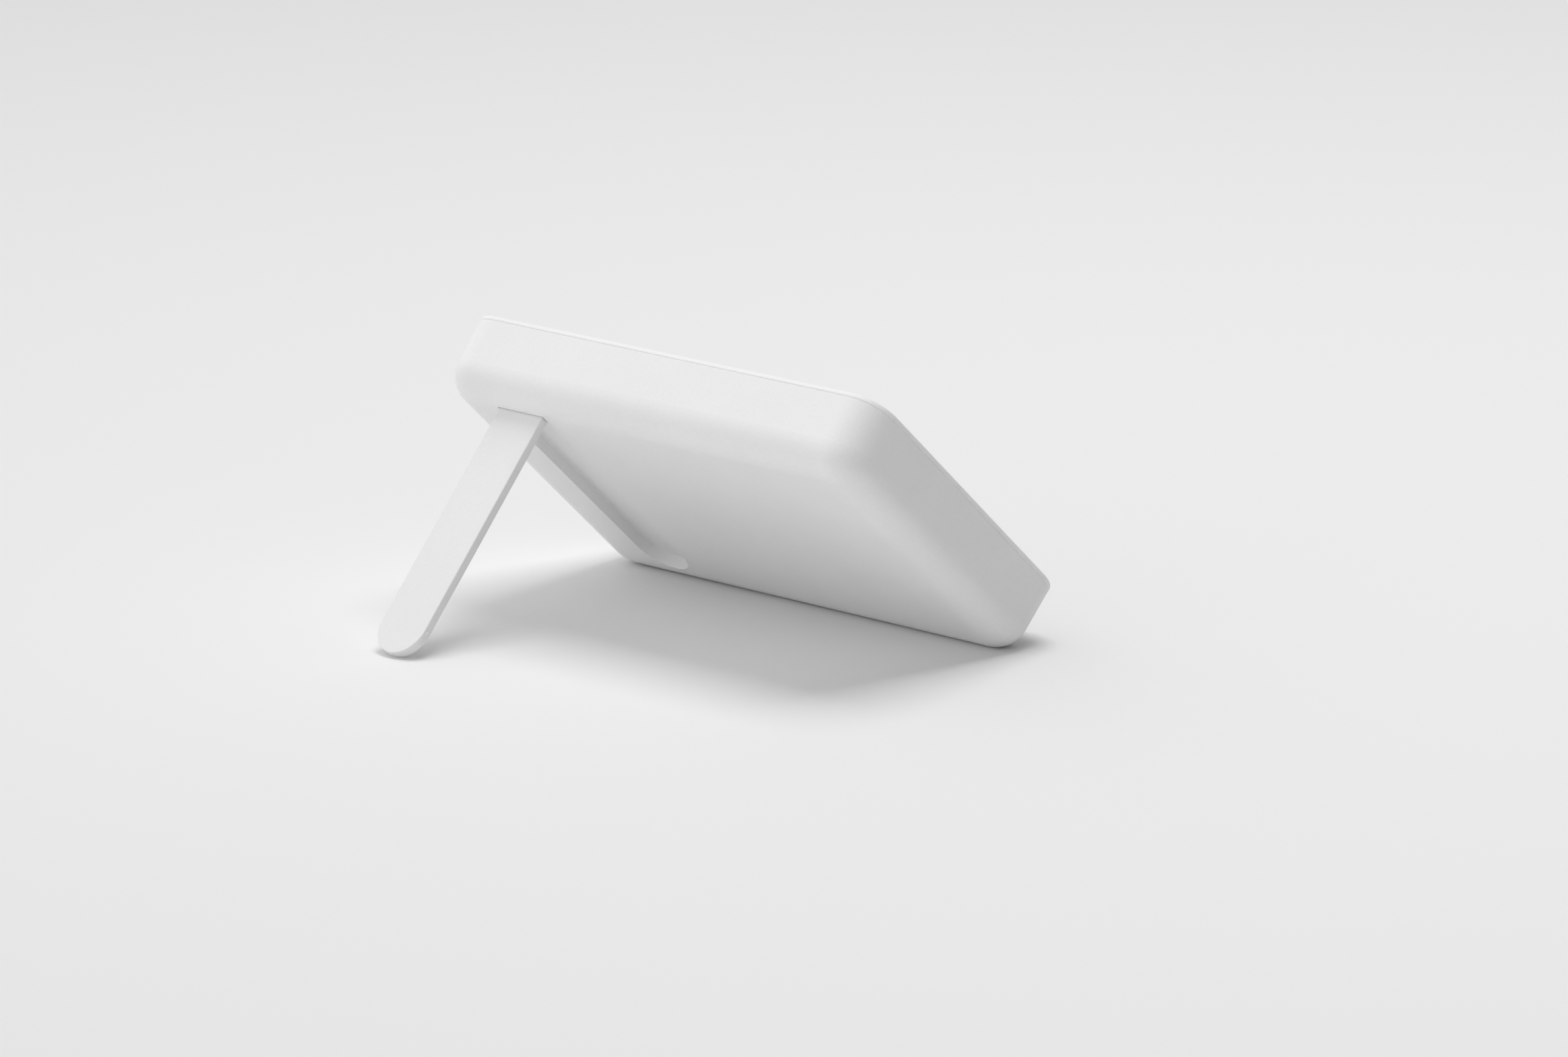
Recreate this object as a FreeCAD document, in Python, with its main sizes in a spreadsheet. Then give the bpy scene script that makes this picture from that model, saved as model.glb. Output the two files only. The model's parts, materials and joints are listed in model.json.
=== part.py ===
import FreeCAD, Part
import Sketcher
import math
import os

# A magnetic power bank that stands on its lower edge and on a fold-out leg.
# Every piece is drawn in the bank's own frame: x along the length, y across the width and z from the
# magnet side (z = 0) out to the outer face. One placement then stands the whole bank up.

V = FreeCAD.Vector

SIZES = [
    ("shell_length", 89.5, "length at the magnet-side edge"),
    ("shell_width", 60.0, "width at the magnet-side edge"),
    ("shell_height", 13.67, "magnet-side face to outer face"),
    ("draft_angle", 2.1, "lean of the moulded sides, degrees"),
    ("corner_radius", 6.1, "corners seen from the outer face"),
    ("edge_radius", 5.15, "round edge between the sides and the outer face"),
    ("wall", 1.4, "wall of the main shell"),
    ("inner_bevel", 2.5, "bevel between the shell's inner walls and its ceiling"),
    ("seam_height", 1.0, "edge of the base cover that shows below the shell"),
    ("seam_chamfer", 0.1, "broken edges that make the seam line"),
    ("base_round", 0.78, "round magnet-side edge of the base cover"),
    ("lip_height", 1.6, "base cover lip above the seam"),
    ("lip_thickness", 1.0, "base cover lip"),
    ("lip_gap", 0.1, "base cover lip to shell wall"),
    ("pad_thickness", 0.6, "soft pad, proud of the base cover"),
    ("pad_inset", 4.6, "soft pad edge to base cover edge"),
    ("pad_radius", 4.0, "soft pad corners"),
    ("pad_ring_radius", 25.0, "ring groove over the magnets, middle of the groove"),
    ("pad_ring_width", 1.0, "ring groove"),
    ("pad_ring_depth", 0.25, "ring groove"),
    ("leg_width", 9.7, "stand leg"),
    ("leg_thickness", 1.6, "stand leg"),
    ("leg_bevel", 0.1, "broken edges of the leg"),
    ("leg_side_gap", 0.2, "leg to groove, each side"),
    ("groove_inset", 17.1, "left end to the middle of the groove"),
    ("groove_depth", 2.0, "leg groove below the outer face"),
    ("groove_floor", 1.2, "wall under and beside the groove"),
    ("groove_bevel", 0.15, "foot of the groove walls"),
    ("stop_inset", 4.8, "upper long edge to the wall that stops the open leg"),
    ("stop_gap", 0.2, "open leg to its stop"),
    ("groove_end_inset", 6.1, "lower long edge to the round end of the groove"),
    ("tip_gap", 0.65, "folded leg tip to the end of the groove"),
    ("axis_depth", 1.5, "hinge axis below the outer face"),
    ("barrel_radius", 1.45, "hinge barrel at the root of the leg"),
    ("barrel_gap", 0.15, "hinge barrel to the floor of its pocket"),
    ("pin_diameter", 1.2, "hinge pin"),
    ("pin_seat_fit", 0.01, "hinge pin to its seats in the shell, radial"),
    ("pin_bore_fit", 0.04, "hinge pin to the leg's bore, radial"),
    ("pin_grip", 2.4, "hinge pin held in the shell at each end"),
    ("hinge_wall", 1.2, "shell round the hinge pin"),
    ("board_level", 3.0, "under side of the circuit board"),
    ("board_thickness", 1.0, "circuit board"),
    ("board_length", 22.0, "circuit board along the bank"),
    ("board_side_gap", 3.6, "circuit board to the long walls"),
    ("board_gap", 1.5, "circuit board to the left wall"),
    ("post_radius", 2.2, "screw posts"),
    ("post_pitch_x", 14.5, "screw posts along the bank"),
    ("post_inset", 4.4, "circuit board's left edge to the first screw posts"),
    ("post_edge", 3.0, "circuit board's long edges to the screw posts"),
    ("screw_diameter", 1.4, "board screws"),
    ("screw_length", 4.0, "board screws under the head"),
    ("screw_head_radius", 1.3, "board screws"),
    ("screw_head_height", 0.8, "board screws"),
    ("screw_hole_fit", 0.1, "board screw to board hole, radial"),
    ("screw_pilot_fit", 0.02, "board screw to post, radial"),
    ("screw_pilot_room", 0.6, "pilot hole past the screw's end"),
    ("socket_width", 8.94, "charging socket shell, outside"),
    ("socket_height", 3.26, "charging socket shell, outside"),
    ("socket_depth", 7.3, "charging socket shell"),
    ("socket_wall", 0.3, "charging socket shell"),
    ("socket_gap", 0.18, "charging socket to its opening"),
    ("socket_recess", 0.25, "charging socket behind the side face"),
    ("tongue_width", 6.7, "contact tongue in the socket"),
    ("tongue_thickness", 0.7, "contact tongue in the socket"),
    ("tongue_recess", 0.9, "contact tongue behind the socket mouth"),
    ("tongue_root", 1.8, "insulating block that closes the socket's back"),
    ("button_length", 7.7, "power button"),
    ("button_height", 2.7, "power button"),
    ("button_offset", 14.0, "power button from the middle of the end"),
    ("button_gap", 0.15, "power button to its opening"),
    ("button_proud", 0.15, "power button above the side face"),
    ("button_travel", 0.3, "power button stroke"),
    ("flange_margin", 0.7, "flange that keeps the button in, each side"),
    ("flange_thickness", 0.7, "flange that keeps the button in"),
    ("flange_gap", 0.12, "flange to the shell's inner wall"),
    ("switch_gap", 0.35, "button flange to the switch plunger"),
    ("switch_width", 4.6, "push switch"),
    ("switch_height", 3.0, "push switch"),
    ("switch_depth", 2.2, "push switch"),
    ("plunger_length", 0.7, "push switch plunger"),
    ("plunger_radius", 0.9, "push switch plunger"),
    ("light_count", 4, "charge lights"),
    ("light_pitch", 2.5, "charge lights"),
    ("light_diameter", 1.1, "light guide fingers"),
    ("light_gap", 0.15, "light guide fingers to their holes, radial"),
    ("light_offset", 13.5, "middle of the lights from the middle of the end"),
    ("guide_depth", 2.2, "light guide bar"),
    ("guide_margin", 1.4, "light guide bar past the outer fingers"),
    ("guide_height", 2.6, "light guide bar"),
    ("guide_gap", 0.15, "light guide bar to the wall and the lamps"),
    ("lamp_width", 1.6, "light emitting diodes"),
    ("lamp_depth", 0.8, "light emitting diodes"),
    ("lamp_height", 1.2, "light emitting diodes"),
    ("cell_end_gap", 4.8, "battery cell to the right wall"),
    ("cell_side_gap", 4.1, "battery cell to the long walls"),
    ("cell_clearance", 0.7, "battery cell to the insulating sheet"),
    ("cell_radius", 1.2, "battery cell edges"),
    ("cell_gap", 0.4, "hinge block to battery cell"),
    ("tape_thickness", 0.4, "adhesive sheet over the cell"),
    ("tape_inset", 4.0, "adhesive sheet edge to cell edge"),
    ("tab_width", 4.0, "battery tabs"),
    ("tab_thickness", 0.2, "battery tabs"),
    ("tab_overlap", 1.6, "battery tabs on the board"),
    ("tab_pitch", 16.0, "battery tabs"),
    ("ring_gap", 0.5, "magnet ring to the base cover's lip"),
    ("ring_width", 3.8, "magnet ring"),
    ("magnet_thickness", 1.2, "ring magnets and alignment magnet"),
    ("magnet_count", 18, "ring magnets"),
    ("magnet_pitch_angle", 19.0, "ring magnets, degrees"),
    ("magnet_gap_angle", 0.8, "ring magnets, degrees between two"),
    ("shunt_thickness", 0.5, "steel ring behind the magnets"),
    ("align_end_gap", 1.25, "alignment magnet to the base cover's lip"),
    ("align_width", 5.0, "alignment magnet"),
    ("align_gap", 4.0, "magnet ring to alignment magnet"),
    ("coil_gap", 1.2, "magnet ring to charging coil"),
    ("coil_width", 11.5, "charging coil"),
    ("coil_thickness", 0.9, "charging coil"),
    ("ferrite_thickness", 0.8, "shielding disc behind the coil"),
    ("ferrite_margin", 0.6, "shielding disc past the coil"),
    ("lead_width", 1.2, "flat coil leads"),
    ("lead_thickness", 0.5, "flat coil leads"),
    ("lead_pitch", 4.6, "flat coil leads"),
    ("lead_run", 2.0, "flat coil leads past the magnet ring"),
    ("sheet_thickness", 0.2, "insulating sheet under the cell"),
    ("sheet_margin", 0.8, "insulating sheet past the cell"),
    ("chip_size", 5.0, "control chips"),
    ("chip_height", 0.9, "control chips"),
    ("chip_pitch", 12.0, "control chips"),
    ("inductor_size", 6.6, "power inductor"),
    ("inductor_height", 3.0, "power inductor"),
    ("capacitor_length", 3.2, "filter capacitors"),
    ("capacitor_width", 2.5, "filter capacitors"),
    ("capacitor_height", 1.6, "filter capacitors"),
    ("capacitor_count", 4, "filter capacitors"),
    ("capacitor_pitch", 3.4, "filter capacitors"),
]

doc = FreeCAD.newDocument("power_bank")
sheet = doc.addObject("Spreadsheet::Sheet", "Sizes")
for row, (alias, value, meaning) in enumerate(SIZES, 1):
    sheet.set("A%d" % row, meaning)
    sheet.set("B%d" % row, str(value))
    sheet.setAlias("B%d" % row, alias)
doc.recompute()


def number(expression):
    """Value of an expression in the sheet's sizes."""
    return float(sheet.evalExpression(expression))


# Places that several pieces share, as expressions
SLOPE = "tan(Sizes.draft_angle)"
CEILING = "(Sizes.shell_height - Sizes.wall)"
GROOVE_X = "(-Sizes.shell_length / 2 + Sizes.groove_inset)"
GROOVE_HALF = "(Sizes.leg_width / 2 + Sizes.leg_side_gap)"
STOP_Y = "(Sizes.shell_width / 2 - Sizes.stop_inset)"
LEG_FACE_Y = "(%s - Sizes.stop_gap)" % STOP_Y
AXIS_Y = "(%s - Sizes.barrel_radius)" % LEG_FACE_Y
AXIS_Z = "(Sizes.shell_height - Sizes.axis_depth)"
GROOVE_END_Y = "(-Sizes.shell_width / 2 + Sizes.groove_end_inset)"
TIP_Z = "(%s + %s - %s - Sizes.tip_gap)" % (AXIS_Z, AXIS_Y, GROOVE_END_Y)
GROOVE_UNDER = "(Sizes.shell_height - Sizes.groove_depth - Sizes.groove_floor)"
BLOCK_HALF = "(%s + Sizes.pin_grip + Sizes.hinge_wall)" % GROOVE_HALF
POCKET_FLOOR = "(%s - Sizes.barrel_radius - Sizes.barrel_gap)" % AXIS_Z
BOARD_TOP = "(Sizes.board_level + Sizes.board_thickness)"
PORT_Z = "(%s + Sizes.socket_height / 2)" % BOARD_TOP
SIDE_X = "(-Sizes.shell_length / 2 + %s * %s)" % (PORT_Z, SLOPE)
INNER_SIDE_X = "(%s + Sizes.wall)" % SIDE_X
BOARD_X = "(-Sizes.shell_length / 2 + Sizes.board_level * %s + Sizes.wall + Sizes.board_gap)" % SLOPE
POST_X = "(%s + Sizes.post_inset)" % BOARD_X
BOARD_HALF = "(Sizes.shell_width / 2 - Sizes.wall - Sizes.board_side_gap)"
BOARD_END_X = "(%s + Sizes.board_length)" % BOARD_X
CELL_X = "(%s + %s + Sizes.cell_gap)" % (GROOVE_X, BLOCK_HALF)
CELL_TOP = "(%s - Sizes.tape_thickness)" % CEILING
CELL_LENGTH = "(Sizes.shell_length / 2 - Sizes.wall - Sizes.cell_end_gap - %s)" % CELL_X
CELL_HALF = "(Sizes.shell_width / 2 - Sizes.wall - Sizes.cell_side_gap)"
RING_RADIUS = "(Sizes.shell_width / 2 - Sizes.wall - Sizes.lip_gap - Sizes.lip_thickness - Sizes.ring_gap)"
RING_BORE = "(%s - Sizes.ring_width)" % RING_RADIUS
COIL_RADIUS = "(%s - Sizes.coil_gap)" % RING_BORE
COIL_TOP = "(Sizes.seam_height + Sizes.coil_thickness)"
FERRITE_TOP = "(%s + Sizes.ferrite_thickness)" % COIL_TOP
CELL_Z = "(%s + Sizes.sheet_thickness + Sizes.cell_clearance)" % FERRITE_TOP


# Sketches and features

def new_body(label):
    """Starts an empty piece that is stood up with the rest at the end."""
    body = doc.addObject("PartDesign::Body", label)
    body.Label = label
    return body


def new_sketch(body, name, role="XY_Plane", offset=None):
    """Makes a sketch on one of the piece's own planes, moved along the plane's normal."""
    sketch = body.newObject("Sketcher::SketchObject", name)
    plane = next(part for part in body.Origin.OriginFeatures if part.Role == role)
    sketch.AttachmentSupport = [(plane, "")]
    sketch.MapMode = "FlatFace"
    if offset is not None:
        sketch.setExpression("AttachmentOffset.Base.z", offset)
    return sketch


def tie(sketch, kind, elements, expression):
    """Adds a dimension to a sketch and binds it to an expression."""
    index = sketch.addConstraint(Sketcher.Constraint(kind, *elements, number(expression)))
    name = "size_%d" % index
    sketch.renameConstraint(index, name)
    sketch.setExpression("Constraints." + name, expression)


def draw_loop(sketch, pieces):
    """Adds lines and arcs that follow each other and closes them into one tangent loop."""
    first = sketch.GeometryCount
    sketch.addGeometry(pieces)
    count = len(pieces)
    for step in range(count):
        sketch.addConstraint(Sketcher.Constraint("Tangent", first + step, 2, first + (step + 1) % count, 1))
    return first


def draw_rounded_rectangle(sketch, left, right, bottom, top, radius):
    """Draws a rectangle with four equal round corners from expressions."""
    x0, x1, y0, y1, r = [number(size) for size in (left, right, bottom, top, radius)]
    middles = [V(x1 - r, y0 + r), V(x1 - r, y1 - r), V(x0 + r, y1 - r), V(x0 + r, y0 + r)]
    pieces = []
    for corner, middle in enumerate(middles):
        angle = (corner - 1) * math.pi / 2
        out = V(math.cos(angle), math.sin(angle)) * r
        start = middles[corner - 1] + out
        pieces.append(Part.LineSegment(start, middle + out))
        pieces.append(Part.ArcOfCircle(Part.Circle(middle, V(0, 0, 1), r), angle, angle + math.pi / 2))
    first = draw_loop(sketch, pieces)
    for side, kind in enumerate(("Horizontal", "Vertical", "Horizontal", "Vertical")):
        sketch.addConstraint(Sketcher.Constraint(kind, first + 2 * side))
    for corner in range(1, len(middles)):
        sketch.addConstraint(Sketcher.Constraint("Equal", first + 1, first + 2 * corner + 1))
    tie(sketch, "Radius", (first + 1,), radius)
    tie(sketch, "DistanceY", (-1, 1, first, 1), bottom)
    tie(sketch, "DistanceX", (-1, 1, first + 2, 1), right)
    tie(sketch, "DistanceY", (-1, 1, first + 4, 1), top)
    tie(sketch, "DistanceX", (-1, 1, first + 6, 1), left)


def draw_slot(sketch, x, y, length, height):
    """Draws a slot with half-round ends along the sketch's x axis from expressions."""
    cx, cy, long, high = [number(size) for size in (x, y, length, height)]
    reach, r = long / 2 - high / 2, high / 2
    right, left = V(cx + reach, cy), V(cx - reach, cy)
    first = draw_loop(sketch, [
        Part.LineSegment(left + V(0, -r), right + V(0, -r)),
        Part.ArcOfCircle(Part.Circle(right, V(0, 0, 1), r), -math.pi / 2, math.pi / 2),
        Part.LineSegment(right + V(0, r), left + V(0, r)),
        Part.ArcOfCircle(Part.Circle(left, V(0, 0, 1), r), math.pi / 2, 3 * math.pi / 2),
    ])
    sketch.addConstraint(Sketcher.Constraint("Horizontal", first))
    sketch.addConstraint(Sketcher.Constraint("Equal", first + 1, first + 3))
    half = "(%s - %s) / 2" % (length, height)
    tie(sketch, "Radius", (first + 1,), "%s / 2" % height)
    tie(sketch, "DistanceY", (-1, 1, first + 1, 3), y)
    tie(sketch, "DistanceX", (-1, 1, first + 1, 3), "%s + %s" % (x, half))
    tie(sketch, "DistanceX", (-1, 1, first + 3, 3), "%s - %s" % (x, half))


def draw_circle(sketch, x, y, radius):
    """Draws a circle from expressions."""
    circle = Part.Circle(V(number(x), number(y)), V(0, 0, 1), number(radius))
    index = sketch.addGeometry(circle)
    tie(sketch, "Radius", (index,), radius)
    tie(sketch, "DistanceX", (-1, 1, index, 3), x)
    tie(sketch, "DistanceY", (-1, 1, index, 3), y)


def draw_tongue(sketch, x, half_width, foot, tip, upwards):
    """Draws a strip with one square end and one half-round end along the sketch's y axis."""
    cx, half, low, end = [number(size) for size in (x, half_width, foot, tip)]
    turn = 1 if upwards else -1
    middle = V(cx, end - turn * half)
    start_angle = 0 if upwards else math.pi
    pieces = [
        Part.LineSegment(V(cx + turn * half, low), middle + V(turn * half, 0)),
        Part.ArcOfCircle(Part.Circle(middle, V(0, 0, 1), half), start_angle, start_angle + math.pi),
        Part.LineSegment(middle - V(turn * half, 0), V(cx - turn * half, low)),
        Part.LineSegment(V(cx - turn * half, low), V(cx + turn * half, low)),
    ]
    first = sketch.GeometryCount
    sketch.addGeometry(pieces)
    sketch.addConstraint(Sketcher.Constraint("Tangent", first, 2, first + 1, 1))
    sketch.addConstraint(Sketcher.Constraint("Tangent", first + 1, 2, first + 2, 1))
    sketch.addConstraint(Sketcher.Constraint("Coincident", first + 2, 2, first + 3, 1))
    sketch.addConstraint(Sketcher.Constraint("Coincident", first + 3, 2, first, 1))
    sketch.addConstraint(Sketcher.Constraint("Vertical", first))
    sketch.addConstraint(Sketcher.Constraint("Horizontal", first + 3))
    tie(sketch, "Radius", (first + 1,), half_width)
    tie(sketch, "DistanceX", (-1, 1, first + 1, 3), x)
    tie(sketch, "DistanceY", (-1, 1, first + 1, 3), "%s %s %s" % (tip, "-" if upwards else "+", half_width))
    tie(sketch, "DistanceY", (-1, 1, first + 3, 1), foot)


def extrude(body, kind, name, sketch, length, taper=None, reverse=False):
    """Pads or pockets a sketch, and stops if the piece's volume didn't change the right way."""
    before = body.Shape.Volume if body.Tip else 0.0
    feature = body.newObject("PartDesign::" + kind, name)
    feature.Profile = sketch
    feature.Reversed = reverse
    feature.setExpression("Length", length)
    if taper is not None:
        feature.setExpression("TaperAngle", taper)
    doc.recompute()
    gained = feature.Shape.Volume - before
    if gained * (1 if kind == "Pad" else -1) <= 0:
        raise RuntimeError("%s changed the piece by %.3f mm3" % (name, gained))
    return feature


def place(feature, corner):
    """Binds a primitive's place to three expressions."""
    for axis, expression in zip("xyz", corner):
        feature.setExpression("Placement.Base." + axis, expression)


def add_block(body, name, corner, size, kind="Additive"):
    """Adds or cuts a block, from its lowest corner and its size."""
    feature = body.newObject("PartDesign::%sBox" % kind, name)
    for side, expression in zip(("Length", "Width", "Height"), size):
        feature.setExpression(side, expression)
    place(feature, corner)
    doc.recompute()
    return feature


def add_rod(body, name, foot, axis, radius, length, kind="Additive"):
    """Adds or cuts a cylinder that runs from its foot along an axis."""
    feature = body.newObject("PartDesign::%sCylinder" % kind, name)
    feature.Placement = FreeCAD.Placement(V(), FreeCAD.Rotation(V(0, 0, 1), axis))
    feature.setExpression("Radius", radius)
    feature.setExpression("Height", length)
    place(feature, foot)
    doc.recompute()
    return feature


def edges_where(shape, test):
    """Names of the edges whose middle passes a test."""
    names = []
    for index, edge in enumerate(shape.Edges, 1):
        if test(edge.CenterOfMass, edge):
            names.append("Edge%d" % index)
    return names


def dress(body, kind, name, base, edges, size):
    """Rounds or chamfers edges."""
    feature = body.newObject("PartDesign::" + kind, name)
    feature.Base = (base, edges)
    feature.setExpression("Radius" if kind == "Fillet" else "Size", size)
    doc.recompute()
    return feature


def near(value, expression):
    """True where a coordinate lies on a place."""
    return abs(value - number(expression)) < 0.01


def draw_bank_outline(sketch, level, inset="0"):
    """Draws the bank's rounded outline at a level, drawn in by an inset."""
    step = "(%s * %s + %s)" % (level, SLOPE, inset)
    half_length = "(Sizes.shell_length / 2 - %s)" % step
    half_width = "(Sizes.shell_width / 2 - %s)" % step
    radius = "(Sizes.corner_radius - %s)" % step
    draw_rounded_rectangle(sketch, "-" + half_length, half_length, "-" + half_width, half_width, radius)


# Housing

def make_main_shell():
    """Moulded tray: drafted sides, round outer edge, leg groove, hinge block, ports and screw posts."""
    body = new_body("main_shell")
    outline = new_sketch(body, "Outline", offset="Sizes.seam_height")
    draw_bank_outline(outline, "Sizes.seam_height")
    solid = extrude(body, "Pad", "Tray", outline, "Sizes.shell_height - Sizes.seam_height", "-Sizes.draft_angle")
    foot = edges_where(solid.Shape, lambda middle, edge: near(middle.z, "Sizes.seam_height"))
    dress(body, "Chamfer", "SeamEdge", solid, foot, "Sizes.seam_chamfer")

    hollow = new_sketch(body, "Hollow", offset="Sizes.seam_height")
    draw_bank_outline(hollow, "Sizes.seam_height", "Sizes.wall")
    depth = "%s - Sizes.seam_height" % CEILING
    cavity = extrude(body, "Pocket", "Cavity", hollow, depth, "-Sizes.draft_angle", True)
    inner = edges_where(cavity.Shape, lambda middle, edge: near(middle.z, CEILING))
    solid = dress(body, "Chamfer", "InnerEdge", cavity, inner, "Sizes.inner_bevel")
    top = edges_where(solid.Shape, lambda middle, edge: near(middle.z, "Sizes.shell_height"))
    dress(body, "Fillet", "OuterEdge", solid, top, "Sizes.edge_radius")

    side = "(%s + Sizes.groove_floor)" % GROOVE_HALF
    end = "(%s - Sizes.groove_floor)" % GROOVE_END_Y
    add_block(body, "GrooveWalls",
              ("%s - %s" % (GROOVE_X, side), end, GROOVE_UNDER),
              ("2 * " + side, "%s - %s" % (AXIS_Y, end), "%s - %s + Sizes.wall / 2" % (CEILING, GROOVE_UNDER)))
    block_y = "(%s - Sizes.barrel_radius - Sizes.barrel_gap - Sizes.hinge_wall)" % AXIS_Y
    block_z = "(%s - Sizes.hinge_wall)" % POCKET_FLOOR
    add_block(body, "HingeBlock",
              ("%s - %s" % (GROOVE_X, BLOCK_HALF), block_y, block_z),
              ("2 * " + BLOCK_HALF, "%s + Sizes.hinge_wall - %s" % (STOP_Y, block_y),
               "%s - %s + Sizes.wall / 4" % (CEILING, block_z)))
    posts = new_sketch(body, "Posts", offset=BOARD_TOP)
    for x, y in post_places():
        draw_circle(posts, x, y, "Sizes.post_radius")
    extrude(body, "Pad", "ScrewPosts", posts, "%s - %s + Sizes.wall / 2" % (CEILING, BOARD_TOP))

    groove = new_sketch(body, "Groove", offset="Sizes.shell_height")
    draw_tongue(groove, GROOVE_X, GROOVE_HALF, STOP_Y, GROOVE_END_Y, False)
    cut = extrude(body, "Pocket", "LegGroove", groove, "Sizes.groove_depth")
    floor = "Sizes.shell_height - Sizes.groove_depth"
    foot = edges_where(cut.Shape, lambda middle, edge: near(middle.z, floor) and middle.y < number(AXIS_Y))
    dress(body, "Chamfer", "GrooveFoot", cut, foot, "Sizes.groove_bevel")
    pocket_y = "(%s - Sizes.barrel_radius - Sizes.barrel_gap)" % AXIS_Y
    add_block(body, "HingePocket",
              ("%s - %s" % (GROOVE_X, GROOVE_HALF), pocket_y, POCKET_FLOOR),
              ("2 * " + GROOVE_HALF, "%s - %s" % (STOP_Y, pocket_y), "Sizes.shell_height - %s" % POCKET_FLOOR),
              "Subtractive")
    add_rod(body, "PinSeats", ("%s - %s - Sizes.pin_grip" % (GROOVE_X, GROOVE_HALF), AXIS_Y, AXIS_Z), V(1, 0, 0),
            "Sizes.pin_diameter / 2 + Sizes.pin_seat_fit", "2 * (%s + Sizes.pin_grip)" % GROOVE_HALF, "Subtractive")

    pilots = new_sketch(body, "Pilots", offset=BOARD_TOP)
    for x, y in post_places():
        draw_circle(pilots, x, y, "Sizes.screw_diameter / 2 + Sizes.screw_pilot_fit")
    pilot_depth = "Sizes.screw_length - Sizes.board_thickness + Sizes.screw_pilot_room"
    extrude(body, "Pocket", "PilotHoles", pilots, pilot_depth, reverse=True)

    ports = new_sketch(body, "Ports", "YZ_Plane", "-Sizes.shell_length / 2")
    draw_slot(ports, "0", PORT_Z, "(Sizes.socket_width + 2 * Sizes.socket_gap)",
              "(Sizes.socket_height + 2 * Sizes.socket_gap)")
    draw_slot(ports, "Sizes.button_offset", PORT_Z, "(Sizes.button_length + 2 * Sizes.button_gap)",
              "(Sizes.button_height + 2 * Sizes.button_gap)")
    for y in light_places():
        draw_circle(ports, y, PORT_Z, "Sizes.light_diameter / 2 + Sizes.light_gap")
    reach = "Sizes.wall + 2 * Sizes.shell_height * " + SLOPE
    extrude(body, "Pocket", "EndOpenings", ports, reach, reverse=True)
    return body


def post_places():
    """Middles of the two screw posts, at opposite corners of the board."""
    return [("%s + %d * Sizes.post_pitch_x" % (POST_X, column), "%s (%s - Sizes.post_edge)" % (sign, BOARD_HALF))
            for column, sign in enumerate(("-", "+"))]


def light_places():
    """Places of the charge lights along the end."""
    count = int(number("Sizes.light_count"))
    return ["(-Sizes.light_offset + (%d - (Sizes.light_count - 1) / 2) * Sizes.light_pitch)" % index
            for index in range(count)]


def make_base_cover():
    """Flat cover on the magnet side, with a lip that goes up inside the shell."""
    body = new_body("base_cover")
    outline = new_sketch(body, "Outline")
    draw_bank_outline(outline, "0")
    plate = extrude(body, "Pad", "Plate", outline, "Sizes.seam_height", "-Sizes.draft_angle")
    foot = edges_where(plate.Shape, lambda middle, edge: near(middle.z, "0"))
    plate = dress(body, "Fillet", "MagnetSideEdge", plate, foot, "Sizes.base_round")
    top = edges_where(plate.Shape, lambda middle, edge: near(middle.z, "Sizes.seam_height"))
    dress(body, "Chamfer", "SeamEdge", plate, top, "Sizes.seam_chamfer")
    lip = new_sketch(body, "Lip", offset="Sizes.seam_height")
    inset = "(Sizes.wall + Sizes.lip_gap)"
    draw_bank_outline(lip, "Sizes.seam_height", inset)
    draw_bank_outline(lip, "Sizes.seam_height", "(%s + Sizes.lip_thickness)" % inset)
    extrude(body, "Pad", "LipWall", lip, "Sizes.lip_height", "-Sizes.draft_angle")
    return body


def make_contact_pad():
    """Soft pad on the magnet side, with a shallow ring over the magnets."""
    body = new_body("contact_pad")
    outline = new_sketch(body, "Outline", offset="-Sizes.pad_thickness")
    half_length = "(Sizes.shell_length / 2 - Sizes.pad_inset)"
    half_width = "(Sizes.shell_width / 2 - Sizes.pad_inset)"
    draw_rounded_rectangle(outline, "-" + half_length, half_length, "-" + half_width, half_width, "Sizes.pad_radius")
    pad = extrude(body, "Pad", "Pad", outline, "Sizes.pad_thickness")
    face = edges_where(pad.Shape, lambda middle, edge: near(middle.z, "-Sizes.pad_thickness"))
    dress(body, "Chamfer", "PadEdge", pad, face, "Sizes.pad_thickness / 2")
    ring = new_sketch(body, "Ring", offset="-Sizes.pad_thickness")
    draw_circle(ring, "0", "0", "Sizes.pad_ring_radius + Sizes.pad_ring_width / 2")
    draw_circle(ring, "0", "0", "Sizes.pad_ring_radius - Sizes.pad_ring_width / 2")
    extrude(body, "Pocket", "RingGroove", ring, "Sizes.pad_ring_depth", reverse=True)
    return body


# Stand

def make_stand_leg():
    """Flat leg with a half-round tip and a hinge barrel flush with its outer face."""
    body = new_body("stand_leg")
    outline = new_sketch(body, "Outline", "XZ_Plane", "-" + LEG_FACE_Y)
    draw_tongue(outline, GROOVE_X, "Sizes.leg_width / 2", AXIS_Z, TIP_Z, True)
    blade = extrude(body, "Pad", "Blade", outline, "Sizes.leg_thickness")
    inner_face = "%s - Sizes.leg_thickness" % LEG_FACE_Y

    def on_rim(middle, edge):
        """True for the long edges and the tip edges of both wide faces."""
        on_face = near(middle.y, LEG_FACE_Y) or near(middle.y, inner_face)
        return on_face and middle.z > number(AXIS_Z) + 0.01

    dress(body, "Chamfer", "BladeEdges", blade, edges_where(blade.Shape, on_rim), "Sizes.leg_bevel")
    foot = ("%s - Sizes.leg_width / 2" % GROOVE_X, AXIS_Y, AXIS_Z)
    add_rod(body, "Barrel", foot, V(1, 0, 0), "Sizes.barrel_radius", "Sizes.leg_width")
    add_rod(body, "Bore", foot, V(1, 0, 0), "Sizes.pin_diameter / 2 + Sizes.pin_bore_fit", "Sizes.leg_width",
            "Subtractive")
    return body


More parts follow.
